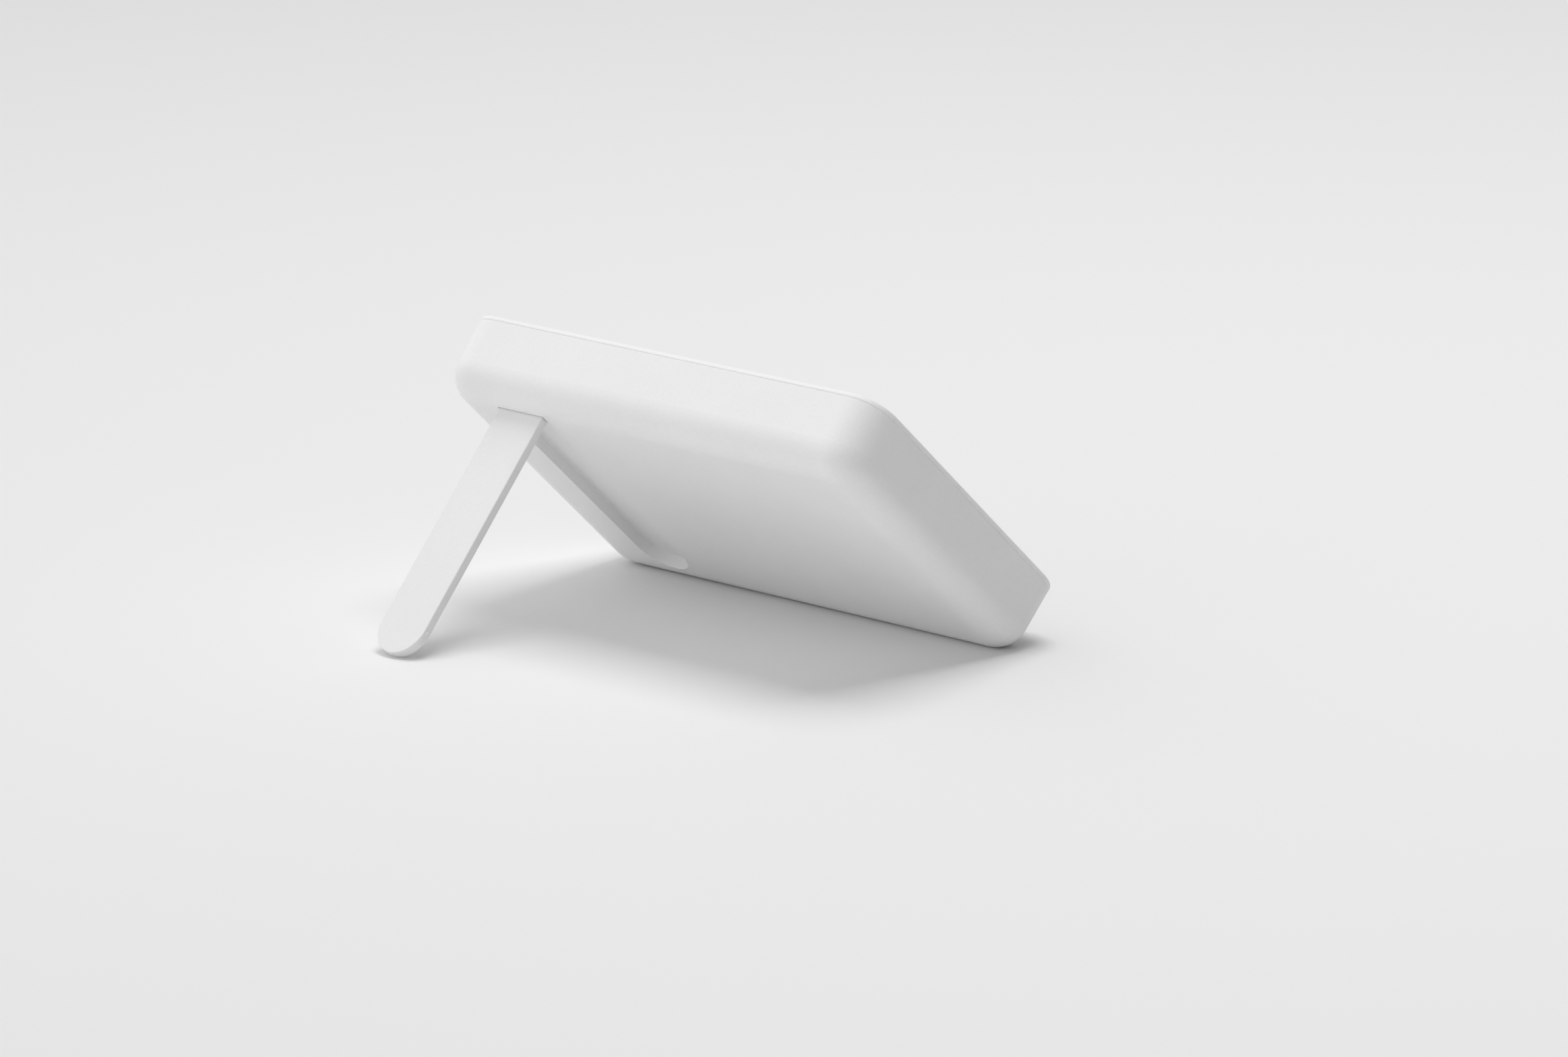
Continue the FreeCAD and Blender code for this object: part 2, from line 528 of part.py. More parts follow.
def make_hinge_pin():
    """Steel pin through the leg's barrel, held in the shell at both ends."""
    body = new_body("hinge_pin")
    add_rod(body, "Pin", ("%s - %s - Sizes.pin_grip" % (GROOVE_X, GROOVE_HALF), AXIS_Y, AXIS_Z), V(1, 0, 0),
            "Sizes.pin_diameter / 2", "2 * (%s + Sizes.pin_grip)" % GROOVE_HALF)
    return body


# Button, lights and socket on the left end

def make_power_button():
    """Pill-shaped button with a flange that keeps it behind the wall."""
    body = new_body("power_button")
    flange_x = "(%s + Sizes.flange_gap)" % INNER_SIDE_X
    front_x = "(%s - Sizes.button_proud)" % SIDE_X
    cap = new_sketch(body, "Cap", "YZ_Plane", front_x)
    draw_slot(cap, "Sizes.button_offset", PORT_Z, "Sizes.button_length", "Sizes.button_height")
    solid = extrude(body, "Pad", "CapBlock", cap, "%s - %s" % (flange_x, front_x))
    front = edges_where(solid.Shape, lambda middle, edge: near(middle.x, front_x))
    dress(body, "Chamfer", "CapEdge", solid, front, "Sizes.button_proud")
    flange = new_sketch(body, "Flange", "YZ_Plane", flange_x)
    draw_slot(flange, "Sizes.button_offset", PORT_Z, "(Sizes.button_length + 2 * Sizes.flange_margin)",
              "(Sizes.button_height + 2 * Sizes.flange_margin)")
    extrude(body, "Pad", "FlangePlate", flange, "Sizes.flange_thickness")
    return body


def make_button_switch():
    """Push switch on the board, with its plunger just past the button's stroke."""
    body = new_body("button_switch")
    plunger_x = "(%s + Sizes.flange_gap + Sizes.flange_thickness + Sizes.switch_gap)" % INNER_SIDE_X
    case_x = "(%s + Sizes.plunger_length)" % plunger_x
    add_block(body, "Case", (case_x, "Sizes.button_offset - Sizes.switch_width / 2", BOARD_TOP),
              ("Sizes.switch_depth", "Sizes.switch_width", "Sizes.switch_height"))
    add_rod(body, "Plunger", (plunger_x, "Sizes.button_offset", PORT_Z), V(1, 0, 0), "Sizes.plunger_radius",
            "Sizes.plunger_length")
    return body


def make_light_guide():
    """Clear bar on the board with a finger in each light hole."""
    body = new_body("light_guide")
    bar_x = "(%s + Sizes.guide_gap + Sizes.flange_gap)" % INNER_SIDE_X
    half = "((Sizes.light_count - 1) * Sizes.light_pitch / 2 + Sizes.guide_margin)"
    add_block(body, "Bar", (bar_x, "-Sizes.light_offset - " + half, BOARD_TOP),
              ("Sizes.guide_depth", "2 * " + half, "Sizes.guide_height"))
    fingers = new_sketch(body, "Fingers", "YZ_Plane", SIDE_X)
    for y in light_places():
        draw_circle(fingers, y, PORT_Z, "Sizes.light_diameter / 2")
    extrude(body, "Pad", "FingerRods", fingers, "%s - %s" % (bar_x, SIDE_X))
    return body


def make_status_lights():
    """One small light emitting diode behind each finger of the guide."""
    body = new_body("status_lights")
    lamp_x = "(%s + 2 * Sizes.guide_gap + Sizes.flange_gap + Sizes.guide_depth)" % INNER_SIDE_X
    for index, y in enumerate(light_places(), 1):
        add_block(body, "Lamp%d" % index, (lamp_x, "%s - Sizes.lamp_width / 2" % y, BOARD_TOP),
                  ("Sizes.lamp_depth", "Sizes.lamp_width", "Sizes.lamp_height"))
    return body


def make_socket_shell():
    """Thin steel sleeve of the reversible charging socket."""
    body = new_body("socket_shell")
    sleeve = new_sketch(body, "Sleeve", "YZ_Plane", "%s + Sizes.socket_recess" % SIDE_X)
    draw_slot(sleeve, "0", PORT_Z, "Sizes.socket_width", "Sizes.socket_height")
    draw_slot(sleeve, "0", PORT_Z, "(Sizes.socket_width - 2 * Sizes.socket_wall)",
              "(Sizes.socket_height - 2 * Sizes.socket_wall)")
    extrude(body, "Pad", "SleeveWall", sleeve, "Sizes.socket_depth")
    return body


def make_socket_tongue():
    """Contact tongue on the block that closes the back of the socket."""
    body = new_body("socket_tongue")
    mouth_x = "(%s + Sizes.socket_recess)" % SIDE_X
    root_x = "(%s + Sizes.socket_depth - Sizes.tongue_root)" % mouth_x
    root = new_sketch(body, "Root", "YZ_Plane", root_x)
    draw_slot(root, "0", PORT_Z, "(Sizes.socket_width - 2 * Sizes.socket_wall)",
              "(Sizes.socket_height - 2 * Sizes.socket_wall)")
    extrude(body, "Pad", "RootBlock", root, "Sizes.tongue_root")
    tongue_x = "(%s + Sizes.tongue_recess)" % mouth_x
    add_block(body, "Tongue",
              (tongue_x, "-Sizes.tongue_width / 2", "%s - Sizes.tongue_thickness / 2" % PORT_Z),
              ("%s - %s" % (root_x, tongue_x), "Sizes.tongue_width", "Sizes.tongue_thickness"))
    return body


# Electronics

def make_circuit_board():
    """Board under the groove, screwed to the shell's posts."""
    body = new_body("circuit_board")
    add_block(body, "Board", (BOARD_X, "-" + BOARD_HALF, "Sizes.board_level"),
              ("Sizes.board_length", "2 * " + BOARD_HALF, "Sizes.board_thickness"))
    holes = new_sketch(body, "Holes", offset="Sizes.board_level")
    for x, y in post_places():
        draw_circle(holes, x, y, "Sizes.screw_diameter / 2 + Sizes.screw_hole_fit")
    extrude(body, "Pocket", "ScrewHoles", holes, "Sizes.board_thickness", reverse=True)
    return body


def make_board_screws():
    """Two screws from the board's under side into the posts."""
    body = new_body("board_screws")
    heads = new_sketch(body, "Heads", offset="Sizes.board_level")
    shanks = new_sketch(body, "Shanks", offset="Sizes.board_level")
    for x, y in post_places():
        draw_circle(heads, x, y, "Sizes.screw_head_radius")
        draw_circle(shanks, x, y, "Sizes.screw_diameter / 2")
    extrude(body, "Pad", "HeadDiscs", heads, "Sizes.screw_head_height", reverse=True)
    extrude(body, "Pad", "ShankRods", shanks, "Sizes.screw_length")
    return body


def make_control_chips():
    """Charging and coil driver chips."""
    body = new_body("control_chips")
    middle_x = "(%s + Sizes.board_length / 2)" % BOARD_X
    for index, sign in enumerate(("-", "+"), 1):
        add_block(body, "Chip%d" % index,
                  ("%s - Sizes.chip_size / 2" % middle_x, "%s Sizes.chip_pitch / 2 - Sizes.chip_size / 2" % sign,
                   BOARD_TOP),
                  ("Sizes.chip_size", "Sizes.chip_size", "Sizes.chip_height"))
    return body


def make_power_inductor():
    """Square moulded inductor of the voltage converter."""
    body = new_body("power_inductor")
    x = "(%s - Sizes.inductor_size / 2 - Sizes.tab_overlap)" % BOARD_END_X
    outline = new_sketch(body, "Outline", offset=BOARD_TOP)
    half = "Sizes.inductor_size / 2"
    draw_rounded_rectangle(outline, "%s - %s" % (x, half), "%s + %s" % (x, half), "-" + half, half,
                           "Sizes.inductor_size / 8")
    extrude(body, "Pad", "Block", outline, "Sizes.inductor_height")
    return body


def make_filter_capacitors():
    """Row of ceramic capacitors beside the chips."""
    body = new_body("filter_capacitors")
    x = "(%s + Sizes.board_length / 2 - Sizes.capacitor_length / 2)" % BOARD_X
    start = "(Sizes.chip_pitch / 2 + Sizes.chip_size / 2 + Sizes.capacitor_width / 2)"
    for index in range(int(number("Sizes.capacitor_count"))):
        add_block(body, "Capacitor%d" % (index + 1),
                  (x, "-%s - %d * Sizes.capacitor_pitch - Sizes.capacitor_width" % (start, index), BOARD_TOP),
                  ("Sizes.capacitor_length", "Sizes.capacitor_width", "Sizes.capacitor_height"))
    return body


# Battery

def make_battery_cell():
    """Flat lithium pouch cell beside the groove."""
    body = new_body("battery_cell")
    block = add_block(body, "Cell", (CELL_X, "-" + CELL_HALF, CELL_Z),
                      (CELL_LENGTH, "2 * " + CELL_HALF, "%s - %s" % (CELL_TOP, CELL_Z)))
    rims = edges_where(block.Shape, lambda middle, edge: abs(edge.tangentAt(edge.FirstParameter).z) < 0.5)
    dress(body, "Fillet", "PouchEdges", block, rims, "Sizes.cell_radius")
    return body


def make_cell_tape():
    """Adhesive sheet that bonds the cell to the shell's ceiling."""
    body = new_body("cell_tape")
    add_block(body, "Tape", ("%s + Sizes.tape_inset" % CELL_X, "-%s + Sizes.tape_inset" % CELL_HALF, CELL_TOP),
              ("%s - 2 * Sizes.tape_inset" % CELL_LENGTH, "2 * (%s - Sizes.tape_inset)" % CELL_HALF,
               "Sizes.tape_thickness"))
    return body


def make_battery_tabs():
    """Two nickel tabs from the cell to the board."""
    body = new_body("battery_tabs")
    for index, sign in enumerate(("-", "+"), 1):
        add_block(body, "Tab%d" % index,
                  ("%s - Sizes.tab_overlap" % BOARD_END_X,
                   "%s Sizes.tab_pitch / 2 - Sizes.tab_width / 2" % sign, BOARD_TOP),
                  ("%s - %s + Sizes.tab_overlap" % (CELL_X, BOARD_END_X), "Sizes.tab_width", "Sizes.tab_thickness"))
    return body


def make_insulating_sheet():
    """Film between the coil and the cell."""
    body = new_body("insulating_sheet")
    add_block(body, "Film",
              ("%s - Sizes.sheet_margin" % CELL_X, "-%s - Sizes.sheet_margin" % CELL_HALF, FERRITE_TOP),
              ("%s + 2 * Sizes.sheet_margin" % CELL_LENGTH, "2 * (%s + Sizes.sheet_margin)" % CELL_HALF,
               "Sizes.sheet_thickness"))
    return body


# Coil and magnets

def make_charging_coil():
    """Flat wound coil on the base cover."""
    body = new_body("charging_coil")
    ring = new_sketch(body, "Ring", offset="Sizes.seam_height")
    draw_circle(ring, "0", "0", COIL_RADIUS)
    draw_circle(ring, "0", "0", "%s - Sizes.coil_width" % COIL_RADIUS)
    extrude(body, "Pad", "Winding", ring, "Sizes.coil_thickness")
    return body


def make_ferrite_disc():
    """Shielding disc behind the coil."""
    body = new_body("ferrite_disc")
    add_rod(body, "Disc", ("0", "0", COIL_TOP), V(0, 0, 1), "%s + Sizes.ferrite_margin" % COIL_RADIUS,
            "Sizes.ferrite_thickness")
    return body


def draw_ring_block(sketch, start, sweep):
    """Draws a straight-sided magnet of the ring between two angles, in degrees."""
    angles = [math.radians(number(angle)) for angle in (start, "%s + %s" % (start, sweep))]
    inner, outer = number(RING_BORE), number(RING_RADIUS)
    one, two = [V(math.cos(angle), math.sin(angle)) for angle in angles]
    corners = [one * outer, two * outer, two * inner, one * inner]
    first = sketch.GeometryCount
    sketch.addGeometry([Part.LineSegment(corners[step - 1], corners[step]) for step in range(4)])
    for step in range(4):
        sketch.addConstraint(Sketcher.Constraint("Coincident", first + step, 2, first + (step + 1) % 4, 1))
    for line in (first, first + 2):
        sketch.addConstraint(Sketcher.Constraint("PointOnObject", -1, 1, line))
    for line, radius in ((first, RING_RADIUS), (first + 1, RING_RADIUS), (first + 2, RING_BORE), (first + 3, RING_BORE)):
        tie(sketch, "Distance", (-1, 1, line, 2), radius)
    tie(sketch, "DistanceX", (-1, 1, first, 2), "%s * cos(%s)" % (RING_RADIUS, start))
    tie(sketch, "DistanceX", (-1, 1, first + 1, 2), "%s * cos(%s + %s)" % (RING_RADIUS, start, sweep))


def draw_ring_sector(sketch, start, sweep):
    """Draws a sector of the magnet ring between two angles, in degrees."""
    begin, turn = math.radians(number(start)), math.radians(number(sweep))
    inner, outer = number(RING_BORE), number(RING_RADIUS)
    up = V(0, 0, 1)
    ends = [V(math.cos(angle), math.sin(angle)) for angle in (begin, begin + turn)]
    first = sketch.GeometryCount
    sketch.addGeometry([
        Part.ArcOfCircle(Part.Circle(V(), up, outer), begin, begin + turn),
        Part.LineSegment(ends[1] * outer, ends[1] * inner),
        Part.ArcOfCircle(Part.Circle(V(), up, inner), begin, begin + turn),
        Part.LineSegment(ends[0] * inner, ends[0] * outer),
    ])
    for one, end_one, two, end_two in ((0, 2, 1, 1), (1, 2, 2, 2), (2, 1, 3, 1), (3, 2, 0, 1)):
        sketch.addConstraint(Sketcher.Constraint("Coincident", first + one, end_one, first + two, end_two))
    for arc in (first, first + 2):
        sketch.addConstraint(Sketcher.Constraint("Coincident", arc, 3, -1, 1))
    for line in (first + 1, first + 3):
        sketch.addConstraint(Sketcher.Constraint("PointOnObject", -1, 1, line))
    tie(sketch, "Radius", (first,), RING_RADIUS)
    tie(sketch, "Radius", (first + 2,), RING_BORE)
    tie(sketch, "DistanceX", (-1, 1, first, 1), "%s * cos(%s)" % (RING_RADIUS, start))
    tie(sketch, "DistanceX", (-1, 1, first, 2), "%s * cos(%s + %s)" % (RING_RADIUS, start, sweep))


def make_magnet_ring():
    """Ring of block magnets, open on the left where the coil's leads pass."""
    body = new_body("magnet_ring")
    sector = new_sketch(body, "Sector", offset="Sizes.seam_height")
    span = "(Sizes.magnet_count * Sizes.magnet_pitch_angle)"
    draw_ring_block(sector, "(-%s / 2 + Sizes.magnet_gap_angle / 2)" % span,
                    "(Sizes.magnet_pitch_angle - Sizes.magnet_gap_angle)")
    magnet = extrude(body, "Pad", "Magnet", sector, "Sizes.magnet_thickness")
    ring = body.newObject("PartDesign::PolarPattern", "Ring")
    ring.Originals = [magnet]
    ring.Axis = (sector, ["N_Axis"])
    ring.setExpression("Angle", "Sizes.magnet_pitch_angle * (Sizes.magnet_count - 1)")
    ring.setExpression("Occurrences", "Sizes.magnet_count")
    body.Tip = ring
    doc.recompute()
    return body


def make_magnet_shunt():
    """Steel ring that closes the magnets' field away from the battery."""
    body = new_body("magnet_shunt")
    ring = new_sketch(body, "Ring", offset="Sizes.seam_height + Sizes.magnet_thickness")
    span = "(Sizes.magnet_count * Sizes.magnet_pitch_angle)"
    draw_ring_sector(ring, "(-%s / 2)" % span, span)
    extrude(body, "Pad", "Plate", ring, "Sizes.shunt_thickness")
    return body


def make_alignment_magnet():
    """Bar magnet beside the ring that keeps whatever the ring holds from turning."""
    body = new_body("alignment_magnet")
    end_x = "(-Sizes.shell_length / 2 + Sizes.wall + Sizes.lip_gap + Sizes.lip_thickness + Sizes.align_end_gap)"
    add_block(body, "Bar", (end_x, "-Sizes.align_width / 2", "Sizes.seam_height"),
              ("-%s - Sizes.align_gap - %s" % (RING_RADIUS, end_x), "Sizes.align_width", "Sizes.magnet_thickness"))
    return body


def make_coil_leads():
    """Two flat leads from the coil's rim out through the ring's opening and up to the board."""
    body = new_body("coil_leads")
    end_x = "(-%s - Sizes.lead_run)" % RING_RADIUS
    for index, sign in enumerate(("-", "+"), 1):
        y = "%s Sizes.lead_pitch / 2 - Sizes.lead_width / 2" % sign
        add_block(body, "Run%d" % index, (end_x, y, "Sizes.seam_height"),
                  ("-%s - %s" % (COIL_RADIUS, end_x), "Sizes.lead_width", "Sizes.lead_thickness"))
        add_block(body, "Rise%d" % index, (end_x, y, "Sizes.seam_height"),
                  ("Sizes.lead_thickness", "Sizes.lead_width", "Sizes.board_level - Sizes.seam_height"))
    return body


def standing_placement(pieces):
    """Leans the bank until its lower round edge and the leg's tip both touch the ground.

    In the y-z section the edge is a circle and the tip is a corner, so the ground is the line through the
    corner that touches the circle. The bank's bounding box is then centred over the origin.
    """
    edge = number("Sizes.edge_radius")
    edge_z = number("Sizes.shell_height") - edge
    edge_y = -number("Sizes.shell_width / 2") + edge_z * number(SLOPE) + edge * edge_circle_shift()
    tip_y = number("%s - Sizes.leg_thickness + Sizes.leg_bevel" % LEG_FACE_Y)
    across, along = tip_y - edge_y, number(TIP_Z) - edge_z
    lean = math.atan2(along, across) - math.asin(edge / math.hypot(across, along))
    turn = FreeCAD.Rotation(V(1, 0, 0), 180 - math.degrees(lean))
    box = FreeCAD.BoundBox()
    for piece in pieces:
        shape = piece.Shape.copy()
        shape.Placement = FreeCAD.Placement(V(), turn)
        box.add(shape.optimalBoundingBox(False, False))
    return FreeCAD.Placement(V(-box.Center.x, -box.Center.y, -box.ZMin), turn)


def edge_circle_shift():
    """Distance from the drafted side to the round edge's middle, as a share of the edge radius."""
    draft = math.radians(number("Sizes.draft_angle"))
    return (1 + math.sin(draft)) / math.cos(draft) - math.tan(draft)


def write_pieces(pieces):
    """Checks every object and writes one file for each piece."""
    doc.recompute()
    for item in doc.Objects:
        if "Invalid" in item.State or "Error" in item.State:
            raise RuntimeError("%s failed: %s" % (item.Label, item.State))
    os.makedirs("parts", exist_ok=True)
    for piece in pieces:
        shape = piece.Shape
        if shape.isNull() or not shape.isValid():
            raise RuntimeError("%s has no sound shape" % piece.Label)
        shape.exportStep("parts/%s.step" % piece.Label)
        print("%-18s %d solids %9.2f mm3" % (piece.Label, len(shape.Solids), shape.Volume))


PIECES = [
    make_main_shell(),
    make_base_cover(),
    make_contact_pad(),
    make_stand_leg(),
    make_hinge_pin(),
    make_power_button(),
    make_button_switch(),
    make_light_guide(),
    make_status_lights(),
    make_socket_shell(),
    make_socket_tongue(),
    make_circuit_board(),
    make_board_screws(),
    make_control_chips(),
    make_power_inductor(),
    make_filter_capacitors(),
    make_battery_cell(),
    make_cell_tape(),
    make_battery_tabs(),
    make_insulating_sheet(),
    make_charging_coil(),
    make_ferrite_disc(),
    make_magnet_ring(),
    make_magnet_shunt(),
    make_alignment_magnet(),
    make_coil_leads(),
]

standing = standing_placement(PIECES)
for piece in PIECES:
    piece.Placement = standing
write_pieces(PIECES)
print("lean %.3f degrees, shift %s" % (180 - math.degrees(standing.Rotation.Angle), standing.Base))
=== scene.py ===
import json

import bmesh
import bpy
from bpy.props import FloatProperty, FloatVectorProperty, IntProperty, PointerProperty
from mathutils import Matrix, Vector


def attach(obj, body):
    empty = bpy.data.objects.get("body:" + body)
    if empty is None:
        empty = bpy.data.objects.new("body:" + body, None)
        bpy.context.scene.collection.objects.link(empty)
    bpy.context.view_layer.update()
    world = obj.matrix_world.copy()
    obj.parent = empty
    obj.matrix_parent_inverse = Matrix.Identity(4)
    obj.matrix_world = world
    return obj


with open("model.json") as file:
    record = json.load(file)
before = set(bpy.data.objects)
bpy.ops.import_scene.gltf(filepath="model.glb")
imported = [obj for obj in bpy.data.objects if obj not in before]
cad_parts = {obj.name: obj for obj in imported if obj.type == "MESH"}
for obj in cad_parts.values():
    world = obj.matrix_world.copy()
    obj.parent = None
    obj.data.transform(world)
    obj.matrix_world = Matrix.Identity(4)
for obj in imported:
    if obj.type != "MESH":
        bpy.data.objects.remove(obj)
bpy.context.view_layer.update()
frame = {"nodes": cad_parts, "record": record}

bl_info = {
    "name": "Magnetic power bank",
    "version": (1, 0, 0),
    "blender": (4, 5, 0),
    "location": "3D View > Sidebar > Power bank",
    "description": "Finishes a magnetic power bank with a fold-out leg and sets it on a studio floor",
    "category": "Object",
}

NODES = frame["nodes"]
MM = 0.001
WHITE = (1, 1, 1, 1)

# The bank leans with its magnet face. Its own axes run along its length, up its lean and out from the magnet
# side, and its own origin lies under the soft pad that carries that face.
FACE = next(mount for mount in frame["record"]["mounts"] if mount["name"] == "magnet_face")
PAD_THICKNESS = 0.6 * MM
ALONG = Vector((1, 0, 0))
OUT = -Vector(FACE["axis"]).normalized()
UP = OUT.cross(ALONG)
TURN = Matrix((ALONG, UP, OUT)).transposed().to_4x4()
BANK = Matrix.Translation(Vector(FACE["pos_m"]) + OUT * PAD_THICKNESS) @ TURN
LENGTH_AXIS = 0
LEAN_AXIS = 1
OUT_AXIS = 2

# The camera stands where the photograph was taken from, given in the bank's own axes.
CAMERA_PLACE = Vector((877.34, 921.79, 399.82)) * MM
CAMERA_AIM = Vector((-0.65444, -0.69708, -0.29289))
SENSOR_WIDTH = 36.0
CLIP_NEAR = 0.01
CLIP_FAR = 50.0

# A large soft lamp hangs overhead and a weak one stands low in front. Both look at the bank.
TOP_LAMP_PLACE = Vector((0.02, 0.20, 1.10))
FILL_LAMP_PLACE = Vector((0.0, -1.10, 0.31))
LAMP_AIM = Vector((0.0, 0.0, 0.02))

# Half the floor's side, and the distances from the bank between which it fades into the backdrop.
FLOOR_HALF = 4.0
FADE_START = 0.55
FADE_END = 1.6

# Noise gathers round a half, so a tone or gloss runs over the middle of its values.
NARROW_RANGE = (0.35, 0.65)
WIDE_RANGE = (0.3, 0.7)

# Refractive indices.
ABS_IOR = 1.53
SILICONE_IOR = 1.41
POLYCARBONATE_IOR = 1.58
FILLED_IOR = 1.5

# How much of the plastic's tone is grit and not drift, and how far its roughness goes from the mean.
GRIT_SHARE = 0.6
PLASTIC_GLOSS_SPREAD = 0.05

# Dusty bloom of the silicone and the tone between its grains.
BLOOM_SIZE = 0.4 * MM
BLOOM_DEPTH = 0.03 * MM
BLOOM_SHADE = 0.95

# Streaks of drawn metal run along the bank, and the mottle of filled materials is hardly felt.
STREAK_STRETCH = (0.08, 1, 1)
METAL_GLOSS_SPREAD = 0.06
MOTTLE_DEPTH = 0.03 * MM

# The contacts start behind the tongue's front edge and end before the step at its root.
CONTACT_SETBACK = 0.6 * MM
CONTACT_ROOT_GAP = 0.2 * MM

# Points this near the tongue's end are its front, and points this far above the front are its root.
FRONT_DEPTH = 0.01 * MM
ROOT_STEP = 0.1 * MM


def linear(hex_colour):
    """Linear colour of an sRGB hex value."""
    parts = [int(hex_colour[i:i + 2], 16) / 255 for i in (1, 3, 5)]
    return [c / 12.92 if c <= 0.04045 else ((c + 0.055) / 1.055) ** 2.4 for c in parts]


def dimmed(colour, brightness):
    """A linear colour at a share of its brightness."""
    return [c * brightness for c in colour]


def per_size(size):
    """Texture scale whose features are about one size across, in metres."""
    return 1.0 / size


def add_node(tree, kind, inputs=None, stops=(), **settings):
    """Adds a node. An input is a value or a (node, output) pair to link, and stops are for a colour ramp."""
    node = tree.nodes.new(kind)
    for name, value in settings.items():
        setattr(node, name, value)
    for index, (position, colour) in enumerate(stops):
        node.color_ramp.elements[index].position = position
        node.color_ramp.elements[index].color = (*colour, 1)
    for name, value in (inputs or {}).items():
        if isinstance(value, tuple) and hasattr(value[0], "outputs"):
            tree.links.new(value[0].outputs[value[1]], node.inputs[name])
        else:
            node.inputs[name].default_value = value
    return node


def new_material(name):
    """Starts a material and returns it with its emptied node tree."""
    material = bpy.data.materials.new(name)
    material.use_nodes = True
    material.node_tree.nodes.clear()
    return material, material.node_tree


def close_material(tree, shader):
    """Links a shader to the material's output."""
    add_node(tree, "ShaderNodeOutputMaterial", {"Surface": (shader, 0)})


def set_material(obj, material):
    """Gives an object one material in place of those it has."""
    obj.data.materials.clear()
    obj.data.materials.append(material)


def settings():
    """The add-on's settings in this scene."""
    return bpy.context.scene.power_bank


def bank_points(name):
    """Corners of a CAD node in the bank's own axes."""
    to_bank = BANK.inverted() @ NODES[name].matrix_world
    return [to_bank @ vertex.co for vertex in NODES[name].data.vertices]


def reach(points, axis):
    """Lowest and highest value of some points along one axis."""
    values = [point[axis] for point in points]
    return min(values), max(values)


def add_piece(name, shape, body, material):
    """Turns a bmesh drawn in the bank's axes into a piece that rides on a body, with its finish's slot."""
    shape.transform(BANK)
    mesh = bpy.data.meshes.new(name)
    shape.to_mesh(mesh)
    shape.free()
    piece = bpy.data.objects.new(name, mesh)
    bpy.context.scene.collection.objects.link(piece)
    set_material(piece, material)
    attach(piece, body)


class MouldedPlasticSettings(bpy.types.PropertyGroup):
    """White housing plastic."""

    colour: FloatVectorProperty(
        name="Colour", description="Colour of the moulded plastic", subtype="COLOR", size=3,
        min=0, max=1, default=linear("#F2F2F2"))
    shade: FloatVectorProperty(
        name="Shade", description="Slightly duller tone in the plastic's slow variation", subtype="COLOR",
        size=3, min=0, max=1, default=linear("#EEEEEE"))
    # Painted shade: the leg's copy of the same plastic is drawn this much darker than the shell's.
    leg_painted_shade: FloatProperty(
        name="Leg painted shade", description="Brightness of the leg's plastic against the shell's", subtype="FACTOR",
        min=0, max=1, default=0.965)
    roughness: FloatProperty(
        name="Roughness", description="Mean roughness of the matt mould texture", subtype="FACTOR",
        min=0, max=1, default=0.56)
    grit: FloatProperty(
        name="Grit", description="Grain of the mould texture", unit="LENGTH", default=0.4 * MM, precision=5)
    grit_depth: FloatProperty(
        name="Grit depth", description="Depth of the mould texture", unit="LENGTH", default=0.03 * MM,
        precision=6)
    drift: FloatProperty(
        name="Drift", description="Size of the slow change in tone", unit="LENGTH", default=14 * MM,
        precision=4)


class DetailSettings(bpy.types.PropertyGroup):
    """Small pieces on the socket's tongue and on the leg."""

    contact_count: IntProperty(
        name="Contacts", description="Contacts on each side of the socket's tongue", min=1, max=16,
        default=12)
    contact_pitch: FloatProperty(
        name="Contact pitch", description="Middle to middle of two contacts", unit="LENGTH",
        default=0.5 * MM, precision=5)
    contact_width: FloatProperty(
        name="Contact width", description="Width of one contact", unit="LENGTH", default=0.26 * MM,
        precision=5)
    contact_height: FloatProperty(
        name="Contact height", description="Contact above the tongue", unit="LENGTH", default=0.03 * MM,
        precision=5)
    gate_length: FloatProperty(
        name="Gate length", description="Mark that the moulding gate left on the leg's edge", unit="LENGTH",
        default=0.75 * MM, precision=5)
    gate_width: FloatProperty(
        name="Gate width", description="Width of the gate mark", unit="LENGTH", default=0.55 * MM,
        precision=5)
    gate_height: FloatProperty(
        name="Gate height", description="Gate mark above the leg's edge", unit="LENGTH", default=0.16 * MM,
        precision=5)


class PadSettings(bpy.types.PropertyGroup):
    """Soft pad on the magnet side."""

    colour: FloatVectorProperty(
        name="Colour", description="Colour of the silicone pad", subtype="COLOR", size=3,
        min=0, max=1, default=linear("#DFDFDE"))
    roughness: FloatProperty(
        name="Roughness", description="Roughness of the silicone", subtype="FACTOR", min=0, max=1,
        default=0.72)


class StageSettings(bpy.types.PropertyGroup):
    """Floor, lamps and camera."""

    floor: FloatVectorProperty(
        name="Floor", description="Colour of the floor", subtype="COLOR", size=3,
        min=0, max=1, default=linear("#EDEDED"))
    lamp_power: FloatProperty(
        name="Top lamp", description="Power of the large soft lamp overhead", subtype="POWER", default=6.0)
    fill_power: FloatProperty(
        name="Fill lamp", description="Power of the weak soft lamp in front", subtype="POWER", default=0.5)
    lamp_size: FloatProperty(
        name="Lamp size", description="Side of each soft lamp", unit="LENGTH", default=0.6)
    sky: FloatProperty(
        name="Sky", description="Mean strength of the soft light from all round", default=0.53)
    bright_side: FloatVectorProperty(
        name="Bright side", description="Side that the soft light mostly comes from", size=3,
        default=(-0.85, -0.55, 0.0))
    backdrop: FloatProperty(
        name="Backdrop", description="Brightness of the backdrop past the floor", default=0.82)
    lens: FloatProperty(
        name="Lens", description="Focal length of the camera", subtype="DISTANCE_CAMERA", default=190.45)


